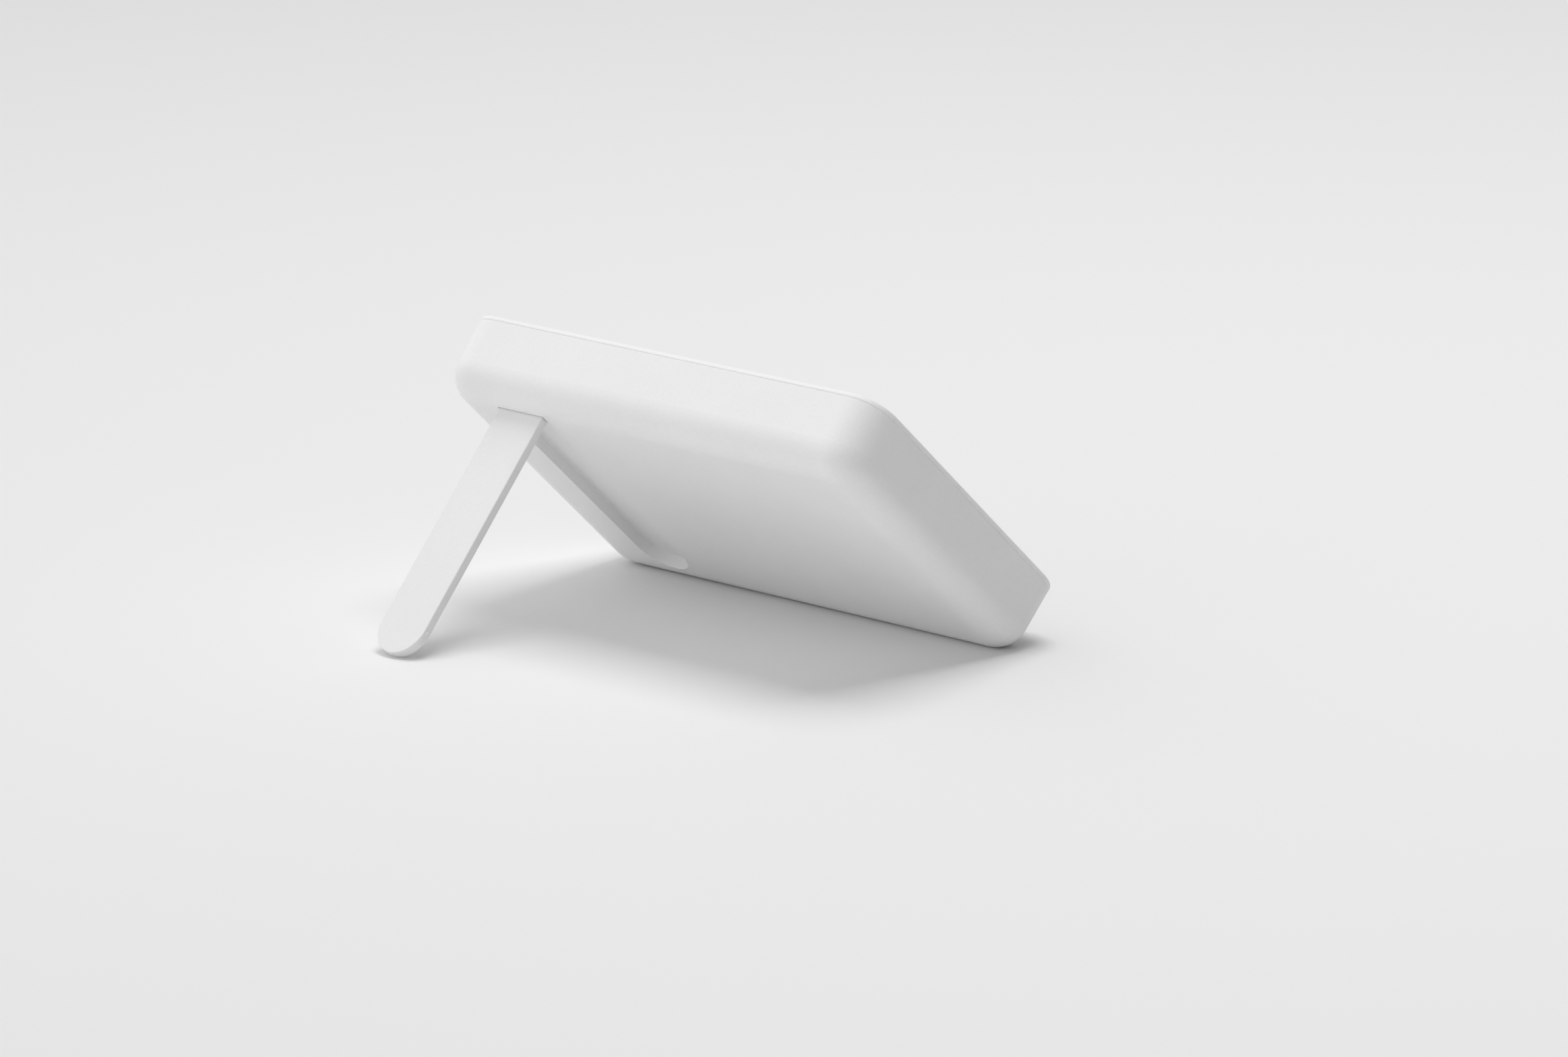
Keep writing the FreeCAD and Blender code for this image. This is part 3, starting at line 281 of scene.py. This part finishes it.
class PowerBankSettings(bpy.types.PropertyGroup):
    """Everything that a user would change."""

    plastic: PointerProperty(
        type=MouldedPlasticSettings, name="Housing plastic", description="Finish of the shell and the leg")
    details: PointerProperty(type=DetailSettings, name="Details", description="Contacts and gate mark")
    pad: PointerProperty(type=PadSettings, name="Pad", description="Pad on the magnet side")
    stage: PointerProperty(type=StageSettings, name="Stage", description="Floor, lamps and camera")


def moulded_plastic(name, plastic, brightness=1.0):
    """White ABS blend from a spark-eroded mould: an even matt skin with a faint, fine grain."""
    # The real grain is about 0.1 mm, too fine to show here, so it is drawn about four times as coarse.
    material, tree = new_material(name)
    place = add_node(tree, "ShaderNodeTexCoord")
    drift = add_node(tree, "ShaderNodeTexNoise", {
        "Vector": (place, "Object"), "Scale": per_size(plastic.drift), "Detail": 3.0, "Roughness": 0.55})
    grit = add_node(tree, "ShaderNodeTexNoise", {
        "Vector": (place, "Object"), "Scale": per_size(plastic.grit), "Detail": 2.0, "Roughness": 0.6})
    speckle = add_node(tree, "ShaderNodeMix", {
        "Factor": GRIT_SHARE, "A": (drift, "Fac"), "B": (grit, "Fac")})
    # A brightness below one dims both tones; on the leg this is painted shade.
    tones = (dimmed(plastic.shade, brightness), dimmed(plastic.colour, brightness))
    tone = add_node(tree, "ShaderNodeValToRGB", {"Fac": (speckle, "Result")}, zip(NARROW_RANGE, tones))
    gloss = add_node(tree, "ShaderNodeMapRange", {
        "Value": (grit, "Fac"), "From Min": WIDE_RANGE[0], "From Max": WIDE_RANGE[1],
        "To Min": plastic.roughness - PLASTIC_GLOSS_SPREAD,
        "To Max": plastic.roughness + PLASTIC_GLOSS_SPREAD})
    bump = add_node(tree, "ShaderNodeBump", {
        "Height": (grit, "Fac"), "Strength": 0.4, "Distance": plastic.grit_depth})
    shader = add_node(tree, "ShaderNodeBsdfPrincipled", {
        "Base Color": (tone, "Color"), "Roughness": (gloss, "Result"), "Normal": (bump, "Normal"),
        "IOR": ABS_IOR})
    close_material(tree, shader)
    return material


def silicone(name, pad):
    """Cast silicone: dull and soft, with a very fine dusty bloom."""
    # The real bloom is about 0.1 mm, too fine to show here, so it is drawn about four times as coarse.
    material, tree = new_material(name)
    place = add_node(tree, "ShaderNodeTexCoord")
    bloom = add_node(tree, "ShaderNodeTexNoise", {
        "Vector": (place, "Object"), "Scale": per_size(BLOOM_SIZE), "Detail": 4.0})
    tones = (dimmed(pad.colour, BLOOM_SHADE), pad.colour)
    tone = add_node(tree, "ShaderNodeValToRGB", {"Fac": (bloom, "Fac")}, zip(WIDE_RANGE, tones))
    bump = add_node(tree, "ShaderNodeBump", {
        "Height": (bloom, "Fac"), "Strength": 0.2, "Distance": BLOOM_DEPTH})
    shader = add_node(tree, "ShaderNodeBsdfPrincipled", {
        "Base Color": (tone, "Color"), "Roughness": pad.roughness, "Normal": (bump, "Normal"),
        "IOR": SILICONE_IOR})
    close_material(tree, shader)
    return material


def metal(name, light, dark, roughness, grain):
    """Drawn or plated metal: bright, with fine streaks along the drawing direction."""
    material, tree = new_material(name)
    place = add_node(tree, "ShaderNodeTexCoord")
    stretch = add_node(tree, "ShaderNodeMapping", {"Vector": (place, "Object"), "Scale": STREAK_STRETCH})
    streaks = add_node(tree, "ShaderNodeTexNoise", {
        "Vector": (stretch, "Vector"), "Scale": per_size(grain), "Detail": 3.0})
    tones = (linear(dark), linear(light))
    tone = add_node(tree, "ShaderNodeValToRGB", {"Fac": (streaks, "Fac")}, zip(WIDE_RANGE, tones))
    gloss = add_node(tree, "ShaderNodeMapRange", {
        "Value": (streaks, "Fac"), "To Min": roughness - METAL_GLOSS_SPREAD,
        "To Max": roughness + METAL_GLOSS_SPREAD})
    shader = add_node(tree, "ShaderNodeBsdfPrincipled", {
        "Base Color": (tone, "Color"), "Metallic": 1.0, "Roughness": (gloss, "Result")})
    close_material(tree, shader)
    return material


def mottled(name, light, dark, roughness, size, ior=FILLED_IOR):
    """Filled or fired material: two close tones in a fine mottle."""
    material, tree = new_material(name)
    place = add_node(tree, "ShaderNodeTexCoord")
    mottle = add_node(tree, "ShaderNodeTexNoise", {
        "Vector": (place, "Object"), "Scale": per_size(size), "Detail": 4.0})
    tones = (linear(dark), linear(light))
    tone = add_node(tree, "ShaderNodeValToRGB", {"Fac": (mottle, "Fac")}, zip(NARROW_RANGE, tones))
    bump = add_node(tree, "ShaderNodeBump", {
        "Height": (mottle, "Fac"), "Strength": 0.15, "Distance": MOTTLE_DEPTH})
    shader = add_node(tree, "ShaderNodeBsdfPrincipled", {
        "Base Color": (tone, "Color"), "Roughness": roughness, "Normal": (bump, "Normal"), "IOR": ior})
    close_material(tree, shader)
    return material


class POWERBANK_OT_housing(bpy.types.Operator):
    """Finish the shell, the base cover, the button and the leg in moulded plastic"""

    bl_idname = "power_bank.housing"
    bl_label = "Finish the housing"

    def execute(self, context):
        plastic = settings().plastic
        shell = moulded_plastic("white_moulded_abs", plastic)
        for name in ("main_shell", "base_cover", "power_button"):
            set_material(NODES[name], shell)
        # The leg is the same plastic as the shell, drawn a little darker: painted shade.
        leg = moulded_plastic("leg_abs_painted_shade", plastic, plastic.leg_painted_shade)
        set_material(NODES["stand_leg"], leg)
        return {"FINISHED"}


class POWERBANK_OT_pad(bpy.types.Operator):
    """Finish the soft pad on the magnet side"""

    bl_idname = "power_bank.pad"
    bl_label = "Finish the pad"

    def execute(self, context):
        set_material(NODES["contact_pad"], silicone("cast_silicone", settings().pad))
        return {"FINISHED"}


class POWERBANK_OT_socket(bpy.types.Operator):
    """Finish the charging socket, the charge lights and the steel and black pieces"""

    bl_idname = "power_bank.socket"
    bl_label = "Finish the socket"

    def execute(self, context):
        # Drawn stainless steel is bright and a little streaked.
        steel = metal("stainless_steel", light="#C9CACB", dark="#AFB1B3", roughness=0.3, grain=0.15 * MM)
        for name in ("socket_shell", "hinge_pin", "board_screws", "magnet_shunt"):
            set_material(NODES[name], steel)
        # Moulded black nylon has a dull, slightly uneven skin.
        black = mottled("black_nylon", light="#222224", dark="#18181A", roughness=0.5, size=0.3 * MM)
        for name in ("socket_tongue", "button_switch", "control_chips"):
            set_material(NODES[name], black)
        # Milky polycarbonate is smooth and nearly even, and shines more than the shell.
        milky = mottled("milky_polycarbonate", light="#E4E5E3", dark="#DADBD9", roughness=0.25,
                        size=0.5 * MM, ior=POLYCARBONATE_IOR)
        for name in ("light_guide", "status_lights"):
            set_material(NODES[name], milky)
        return {"FINISHED"}


class POWERBANK_OT_contacts(bpy.types.Operator):
    """Lay the gilt contacts on both sides of the socket's tongue"""

    bl_idname = "power_bank.contacts"
    bl_label = "Add the socket contacts"

    def execute(self, context):
        details = settings().details
        points = bank_points("socket_tongue")
        front = min(point.x for point in points)
        nose = [point for point in points if point.x < front + FRONT_DEPTH]
        low, high = reach(nose, OUT_AXIS)
        root = min(point.x for point in points if point.z > high + ROOT_STEP)
        start = front + CONTACT_SETBACK
        length = root - start - CONTACT_ROOT_GAP
        if length <= 0:
            raise RuntimeError("the socket's tongue is too short for its contacts")
        half_row = (details.contact_count - 1) * details.contact_pitch / 2
        shape = bmesh.new()
        for index in range(details.contact_count):
            across = index * details.contact_pitch - half_row
            for out in (low, high):
                place = Matrix.Translation((start + length / 2, across, out))
                size = Matrix.Diagonal((length, details.contact_width, 2 * details.contact_height, 1))
                bmesh.ops.create_cube(shape, size=1, matrix=place @ size)
        # Gold plate is warm and bright, with hardly a streak.
        gilt = metal("gold_plate", light="#D9B25E", dark="#C9A04C", roughness=0.3, grain=0.1 * MM)
        add_piece("socket_contacts", shape, "housing", gilt)
        return {"FINISHED"}


class POWERBANK_OT_gate_mark(bpy.types.Operator):
    """Leave the small pale mark of the moulding gate on the leg's edge, where the tip's round begins"""

    bl_idname = "power_bank.gate_mark"
    bl_label = "Add the gate mark"

    def execute(self, context):
        details = settings().details
        points = bank_points("stand_leg")
        left, right = reach(points, LENGTH_AXIS)
        root, tip = reach(points, OUT_AXIS)
        outer_half = [point for point in points if point.z > (root + tip) / 2]
        under, face = reach(outer_half, LEAN_AXIS)
        tip_start = tip - (right - left) / 2
        shape = bmesh.new()
        place = Matrix.Translation((right, (under + face) / 2, tip_start))
        size = Matrix.Diagonal((details.gate_height, details.gate_width / 2, details.gate_length / 2, 1))
        bmesh.ops.create_icosphere(shape, subdivisions=3, radius=1, matrix=place @ size)
        add_piece("leg_gate_mark", shape, "stand", NODES["stand_leg"].data.materials[0])
        return {"FINISHED"}


class POWERBANK_OT_inside(bpy.types.Operator):
    """Finish the board, battery, coil and magnets inside"""

    bl_idname = "power_bank.inside"
    bl_label = "Finish the inside"

    def execute(self, context):
        # Solder mask is a thin green lacquer, clouded where copper lies under it.
        lacquer = mottled("solder_mask", light="#1E4A33", dark="#173C29", roughness=0.35, size=1.5 * MM)
        # Pressed iron powder is dull and dark, like fine stone.
        powder = mottled("pressed_iron_powder", light="#4A4A4B", dark="#3A3A3B", roughness=0.7,
                         size=0.2 * MM)
        # Fired ceramic is an even dull tan.
        ceramic = mottled("fired_ceramic", light="#A98F73", dark="#967C61", roughness=0.5, size=0.3 * MM)
        # Pouch foil is a satin laminate with slow streaks.
        foil = metal("pouch_foil", light="#C4C6C8", dark="#B4B6B8", roughness=0.45, grain=2.0 * MM)
        # Polyimide tape is a smooth amber film.
        film = mottled("polyimide_tape", light="#B08A3A", dark="#A07C32", roughness=0.35, size=2.0 * MM)
        # Nickel, rolled or plated, is bright and slightly warm.
        nickel = metal("nickel_strip", light="#C8C4BA", dark="#B6B2A8", roughness=0.35, grain=0.3 * MM)
        # Enamelled copper is a deep orange with streaks along the wire.
        copper = metal("enamelled_copper", light="#C7794E", dark="#A9613B", roughness=0.35, grain=0.3 * MM)
        # Sintered ferrite is nearly black and dull.
        ferrite = mottled("sintered_ferrite", light="#3A3A3D", dark="#2C2C2F", roughness=0.55, size=0.4 * MM)
        finishes = {
            "circuit_board": lacquer,
            "power_inductor": powder,
            "filter_capacitors": ceramic,
            "battery_cell": foil,
            "cell_tape": film,
            "insulating_sheet": film,
            "battery_tabs": nickel,
            "magnet_ring": nickel,
            "alignment_magnet": nickel,
            "charging_coil": copper,
            "coil_leads": copper,
            "ferrite_disc": ferrite,
        }
        for name, material in finishes.items():
            set_material(NODES[name], material)
        return {"FINISHED"}


def background_rays(tree):
    """Marks the rays that see the background, straight or in metal or glass, and not those that light."""
    path = add_node(tree, "ShaderNodeLightPath")
    seen = add_node(tree, "ShaderNodeMath", {0: (path, "Is Camera Ray"), 1: (path, "Is Glossy Ray")},
                    operation="MAXIMUM")
    return add_node(tree, "ShaderNodeMath", {0: (seen, 0), 1: (path, "Is Transmission Ray")},
                    operation="MAXIMUM")


def pale_paper(name, stage):
    """Matt studio paper: even and pale, and far from the bank it fades into the backdrop."""
    # Without the fade a low view would have a dark horizon.
    material, tree = new_material(name)
    paper = add_node(tree, "ShaderNodeBsdfPrincipled", {
        "Base Color": (*stage.floor, 1), "Roughness": 0.9, "Specular IOR Level": 0.2})
    place = add_node(tree, "ShaderNodeTexCoord")
    distance = add_node(tree, "ShaderNodeVectorMath", {0: (place, "Object")}, operation="LENGTH")
    far = add_node(tree, "ShaderNodeMapRange", {
        "Value": (distance, "Value"), "From Min": FADE_START, "From Max": FADE_END},
        interpolation_type="SMOOTHSTEP")
    seen = add_node(tree, "ShaderNodeMath", {0: (far, "Result"), 1: (background_rays(tree), 0)},
                    operation="MULTIPLY")
    glow = add_node(tree, "ShaderNodeEmission", {"Color": WHITE, "Strength": stage.backdrop})
    both = add_node(tree, "ShaderNodeMixShader", {"Fac": (seen, 0), 1: (paper, 0), 2: (glow, 0)})
    close_material(tree, both)
    return material


def add_floor(scene, stage):
    """Lays the pale floor under the bank."""
    mesh = bpy.data.meshes.new("floor")
    shape = bmesh.new()
    bmesh.ops.create_grid(shape, x_segments=1, y_segments=1, size=FLOOR_HALF)
    shape.to_mesh(mesh)
    shape.free()
    floor = bpy.data.objects.new("floor", mesh)
    scene.collection.objects.link(floor)
    set_material(floor, pale_paper("pale_paper", stage))


def add_sky(scene, stage):
    """Surrounds the bank with soft light, brighter from one side, and shows an even backdrop instead."""
    scene.world = bpy.data.worlds.new("studio")
    scene.world.use_nodes = True
    tree = scene.world.node_tree
    tree.nodes.clear()
    place = add_node(tree, "ShaderNodeTexCoord")
    slope = add_node(tree, "ShaderNodeVectorMath", {0: (place, "Generated"), 1: stage.bright_side},
                     operation="DOT_PRODUCT")
    # The strength rises from nothing on the dark side to twice its mean on the bright side.
    strength = add_node(tree, "ShaderNodeMapRange", {
        "Value": (slope, "Value"), "From Min": -1.0, "From Max": 1.0,
        "To Min": 0.0, "To Max": 2 * stage.sky})
    sky = add_node(tree, "ShaderNodeBackground", {"Color": WHITE, "Strength": (strength, "Result")})
    backdrop = add_node(tree, "ShaderNodeBackground", {"Color": WHITE, "Strength": stage.backdrop})
    both = add_node(tree, "ShaderNodeMixShader", {
        "Fac": (background_rays(tree), 0), 1: (sky, 0), 2: (backdrop, 0)})
    add_node(tree, "ShaderNodeOutputWorld", {"Surface": (both, 0)})


def add_lamps(scene, stage):
    """Hangs the two soft lamps."""
    lamps = {
        "top_softbox": (TOP_LAMP_PLACE, stage.lamp_power),
        "fill_softbox": (FILL_LAMP_PLACE, stage.fill_power),
    }
    for name, (place, power) in lamps.items():
        lamp = bpy.data.lights.new(name, "AREA")
        lamp.shape = "SQUARE"
        lamp.size = stage.lamp_size
        lamp.energy = power
        box = bpy.data.objects.new(name, lamp)
        box.location = place
        box.rotation_mode = "QUATERNION"
        box.rotation_quaternion = (LAMP_AIM - place).to_track_quat("-Z", "Y")
        box.visible_camera = False
        scene.collection.objects.link(box)


def add_camera(scene, stage):
    """Sets up the camera at the photograph's viewing angle."""
    data = bpy.data.cameras.new("camera")
    data.sensor_fit = "HORIZONTAL"
    data.sensor_width = SENSOR_WIDTH
    data.lens = stage.lens
    data.clip_start = CLIP_NEAR
    data.clip_end = CLIP_FAR
    camera = bpy.data.objects.new("camera", data)
    camera.location = BANK @ CAMERA_PLACE
    camera.rotation_mode = "QUATERNION"
    camera.rotation_quaternion = (BANK.to_3x3() @ CAMERA_AIM).to_track_quat("-Z", "Y")
    scene.collection.objects.link(camera)
    scene.camera = camera


class POWERBANK_OT_stage(bpy.types.Operator):
    """Add the floor, the lamps and the camera"""

    bl_idname = "power_bank.stage"
    bl_label = "Set the stage"

    def execute(self, context):
        stage = settings().stage
        scene = context.scene
        scene.view_settings.view_transform = "Standard"
        add_floor(scene, stage)
        add_sky(scene, stage)
        add_lamps(scene, stage)
        add_camera(scene, stage)
        return {"FINISHED"}


class POWERBANK_PT_panel(bpy.types.Panel):
    """Power bank tools"""

    bl_idname = "POWERBANK_PT_panel"
    bl_label = "Power bank"
    bl_space_type = "VIEW_3D"
    bl_region_type = "UI"
    bl_category = "Power bank"

    def draw(self, context):
        for group in (settings().plastic, settings().details, settings().pad, settings().stage):
            box = self.layout.box()
            for name in group.__annotations__:
                box.prop(group, name)
        for operator in OPERATORS:
            self.layout.operator(operator.bl_idname)


OPERATORS = (
    POWERBANK_OT_housing,
    POWERBANK_OT_pad,
    POWERBANK_OT_socket,
    POWERBANK_OT_contacts,
    POWERBANK_OT_gate_mark,
    POWERBANK_OT_inside,
    POWERBANK_OT_stage,
)
CLASSES = (
    MouldedPlasticSettings,
    DetailSettings,
    PadSettings,
    StageSettings,
    PowerBankSettings,
    *OPERATORS,
    POWERBANK_PT_panel,
)


def register():
    """Registers the add-on's classes and its settings."""
    for item in CLASSES:
        bpy.utils.register_class(item)
    bpy.types.Scene.power_bank = PointerProperty(type=PowerBankSettings)


def unregister():
    """Removes the settings and the classes."""
    del bpy.types.Scene.power_bank
    for item in reversed(CLASSES):
        bpy.utils.unregister_class(item)


def main():
    """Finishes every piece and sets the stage."""
    register()
    bpy.ops.power_bank.housing()
    bpy.ops.power_bank.pad()
    bpy.ops.power_bank.socket()
    bpy.ops.power_bank.contacts()
    bpy.ops.power_bank.gate_mark()
    bpy.ops.power_bank.inside()
    bpy.ops.power_bank.stage()


if __name__ == "__main__":
    main()
